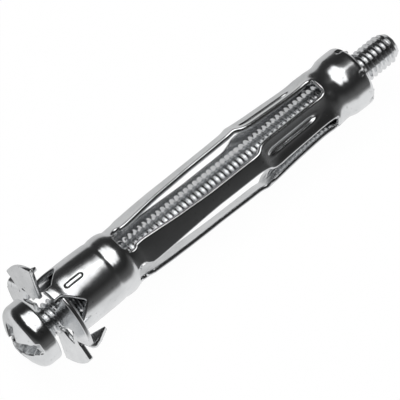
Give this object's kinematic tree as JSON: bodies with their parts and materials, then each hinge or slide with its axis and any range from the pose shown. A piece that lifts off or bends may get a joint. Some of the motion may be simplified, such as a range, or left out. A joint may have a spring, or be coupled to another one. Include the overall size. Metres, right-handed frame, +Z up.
{
  "type": "hollow wall anchor",
  "caption": "Folding hollow wall anchor: slotted steel sleeve with a split toothed collar, threaded bush in its tail and a pan head screw through it.",
  "frame": {"origin": "on the surface the part lies on, below the middle of its whole length, under its axis", "axes": "+X along the axis from the screw's head to its tip, +Z up from the surface, +Y across"},
  "size_m": [0.0569, 0.0138, 0.0126],
  "materials": {
    "sleeve_steel": "bright zinc-plated sheet steel, smooth",
    "nut_steel": "bright zinc-plated turned steel",
    "screw_steel": "bright zinc-plated steel, smooth"
  },
  "bodies": {
    "anchor": {"sleeve": "sleeve_steel", "nut": "nut_steel"},
    "screw": {"screw": "screw_steel"}
  },
  "joints": [
    {"name": "screw_turn", "type": "hinge", "parent": "anchor", "child": "screw", "pos_m": [0, 0, 0.00629], "axis": [1, 0, 0], "continuous": true}
  ]
}
